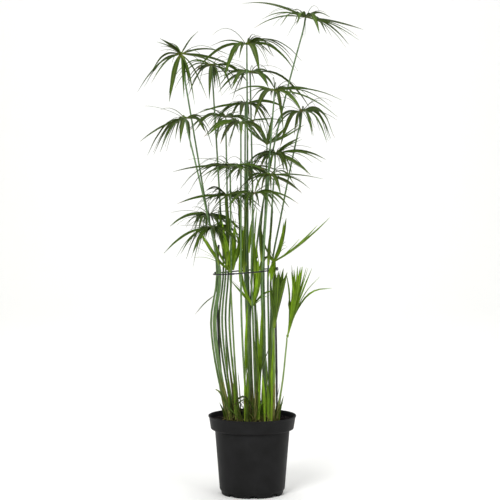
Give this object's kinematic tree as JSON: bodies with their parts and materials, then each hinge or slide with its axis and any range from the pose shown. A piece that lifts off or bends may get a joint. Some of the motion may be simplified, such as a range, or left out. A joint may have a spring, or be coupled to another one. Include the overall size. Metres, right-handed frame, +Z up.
{
  "type": "potted papyrus plant",
  "caption": "Tall umbrella papyrus in a round nursery pot: bare stems with whorls of long narrow leaves, held by canes and a wire ring.",
  "frame": {"origin": "on the floor under the middle of the plant's outline, which is the pot's axis", "axes": "+Z up, along the pot's axis; -Y is the front; +X is to the right seen from the front"},
  "size_m": [0.5397, 0.4391, 1.1865],
  "materials": {
    "pot_plastic": "moulded black polypropylene, matte",
    "peat": "moist brown peat, crumbly",
    "stained_cane": "thin dark stained cane",
    "coated_wire": "black plastic coated wire",
    "clip_plastic": "grey moulded clip",
    "culm": "grey green stem, finely ridged, yellow green to tan at its foot",
    "leaf": "dark green leaf blade, satin, keeled along its middle",
    "young_culm": "fresh yellow green stem",
    "young_leaf": "bright young green leaf blade, satin"
  },
  "bodies": {
    "root": {"pot": "pot_plastic", "soil": "peat", "cane_left": "stained_cane", "cane_right": "stained_cane", "cane_back": "stained_cane", "support_ring": "coated_wire", "ring_clip_left": "clip_plastic", "ring_clip_right": "clip_plastic", "ring_clip_back": "clip_plastic", "culm_01": "culm", "crown_01": "leaf", "culm_02": "culm", "crown_02": "leaf", "culm_03": "culm", "crown_03": "leaf", "culm_04": "culm", "crown_04": "leaf", "culm_05": "culm", "crown_05": "leaf", "culm_06": "culm", "crown_06": "leaf", "culm_07": "culm", "crown_07": "leaf", "culm_08": "culm", "crown_08": "leaf", "culm_09": "culm", "crown_09": "leaf", "culm_10": "culm", "crown_10": "leaf", "culm_11": "culm", "crown_11": "leaf", "culm_12": "culm", "crown_12": "leaf", "culm_13": "culm", "crown_13": "leaf", "culm_14": "culm", "crown_14": "leaf", "culm_15": "culm", "crown_15": "leaf", "culm_16": "culm", "crown_16": "leaf", "culm_17": "culm", "crown_17": "leaf", "culm_18": "culm", "crown_18": "leaf", "culm_19": "culm", "crown_19": "leaf", "culm_20": "culm", "crown_20": "leaf", "culm_21": "young_culm", "crown_21": "young_leaf", "culm_22": "young_culm", "crown_22": "young_leaf", "culm_23": "young_culm", "crown_23": "young_leaf", "culm_24": "young_culm", "crown_24": "young_leaf", "culm_25": "young_culm", "crown_25": "young_leaf"}
  },
  "joints": []
}
